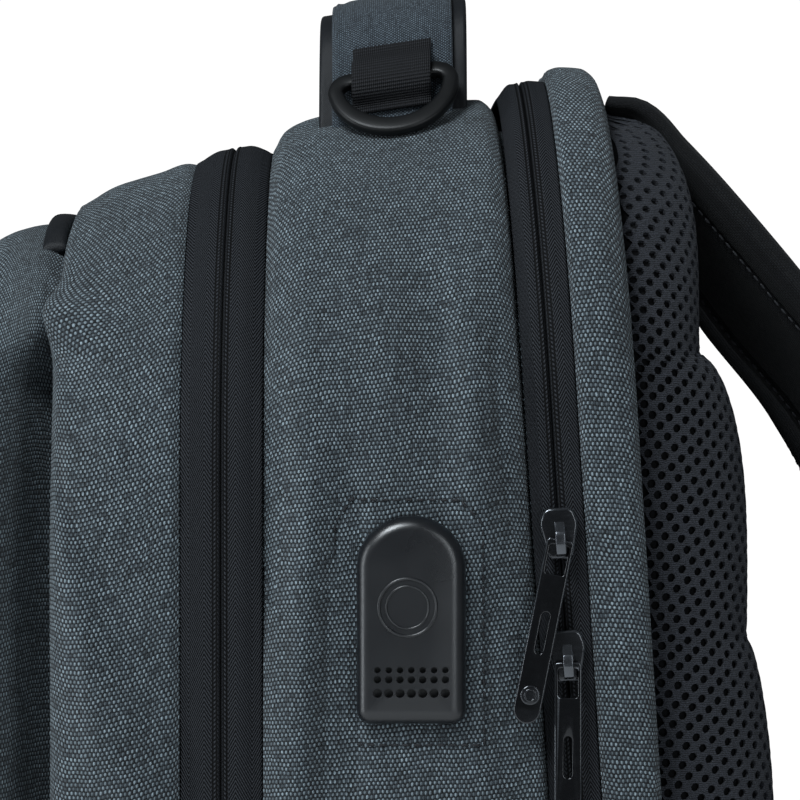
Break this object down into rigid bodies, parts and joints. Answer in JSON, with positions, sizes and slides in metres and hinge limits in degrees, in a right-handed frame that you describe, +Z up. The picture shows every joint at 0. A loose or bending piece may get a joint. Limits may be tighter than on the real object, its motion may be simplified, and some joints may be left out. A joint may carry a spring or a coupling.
{
  "type": "travel backpack",
  "caption": "Upright travel backpack in melange cloth with arched zips, a rubber port cover on one side, a top grab handle with a ring, a channelled mesh back pad and padded shoulder straps.",
  "frame": {"origin": "middle of the flat base on the floor, under the front edge of the main part's middle", "axes": "+Z up, -Y towards the front pocket, +Y towards the back pad and shoulder straps, +X towards the wearer's right side, which has the port cover"},
  "size_m": [0.34, 0.3231, 0.5058],
  "materials": {
    "cloth": "matt blue-grey melange plain weave",
    "zipper_tape": "matt near-black herringbone tape",
    "spacer_mesh": "matt open spacer mesh over foam",
    "strap_cloth": "matt black smooth cloth over foam",
    "webbing": "matt black ribbed webbing",
    "hard_plastic": "fine matt black moulding with soft highlights",
    "port_rubber": "matt black soft rubber",
    "zip_metal": "gloss black enamel"
  },
  "bodies": {
    "bag": {"front_pocket": "cloth", "front_compartment": "cloth", "main_hinge_gusset": "cloth", "main_gusset": "cloth", "laptop_hinge_gusset": "cloth", "back_panel": "cloth", "grab_handle_cover": "cloth", "front_pocket_zipper": "zipper_tape", "main_zipper": "zipper_tape", "laptop_zipper": "zipper_tape", "back_pad": "spacer_mesh", "shoulder_strap_right": "strap_cloth", "shoulder_strap_left": "strap_cloth", "grab_handle_base": "strap_cloth", "ring_tab": "webbing", "strap_webbing_right": "webbing", "strap_webbing_left": "webbing", "strap_anchor_right": "webbing", "strap_anchor_left": "webbing", "strap_adjuster_right": "hard_plastic", "strap_adjuster_left": "hard_plastic", "port_cover": "port_rubber", "laptop_zipper_upper_slider": "zip_metal", "laptop_zipper_lower_slider": "zip_metal", "main_zipper_upper_slider": "zip_metal", "main_zipper_lower_slider": "zip_metal"},
    "ring": {"d_ring": "hard_plastic"},
    "laptop_zipper_upper_pull_body": {"laptop_zipper_upper_pull": "zip_metal"},
    "laptop_zipper_lower_pull_body": {"laptop_zipper_lower_pull": "zip_metal"},
    "main_zipper_upper_pull_body": {"main_zipper_upper_pull": "zip_metal"},
    "main_zipper_lower_pull_body": {"main_zipper_lower_pull": "zip_metal"}
  },
  "joints": [
    {"name": "ring_hinge", "type": "hinge", "parent": "bag", "child": "ring", "pos_m": [0.09171, 0.01358, 0.47301], "axis": [0, -0.9888, -0.1494], "range_deg": [0, 110]},
    {"name": "laptop_zipper_upper_pull_hinge", "type": "hinge", "parent": "bag", "child": "laptop_zipper_upper_pull_body", "pos_m": [0.16442, 0.06338, 0.3315], "axis": [0, -0.9802, 0.1978], "range_deg": [0, 150]},
    {"name": "laptop_zipper_lower_pull_hinge", "type": "hinge", "parent": "bag", "child": "laptop_zipper_lower_pull_body", "pos_m": [0.16506, 0.06564, 0.2955], "axis": [0, -1, 0], "range_deg": [0, 150]},
    {"name": "main_zipper_upper_pull_hinge", "type": "hinge", "parent": "bag", "child": "main_zipper_upper_pull_body", "pos_m": [-0.16523, -0.0366, 0.2975], "axis": [0, 0.9659, 0.259], "range_deg": [0, 150]},
    {"name": "main_zipper_lower_pull_hinge", "type": "hinge", "parent": "bag", "child": "main_zipper_lower_pull_body", "pos_m": [-0.16566, -0.0366, 0.2615], "axis": [0, 1, 0], "range_deg": [0, 150]}
  ]
}
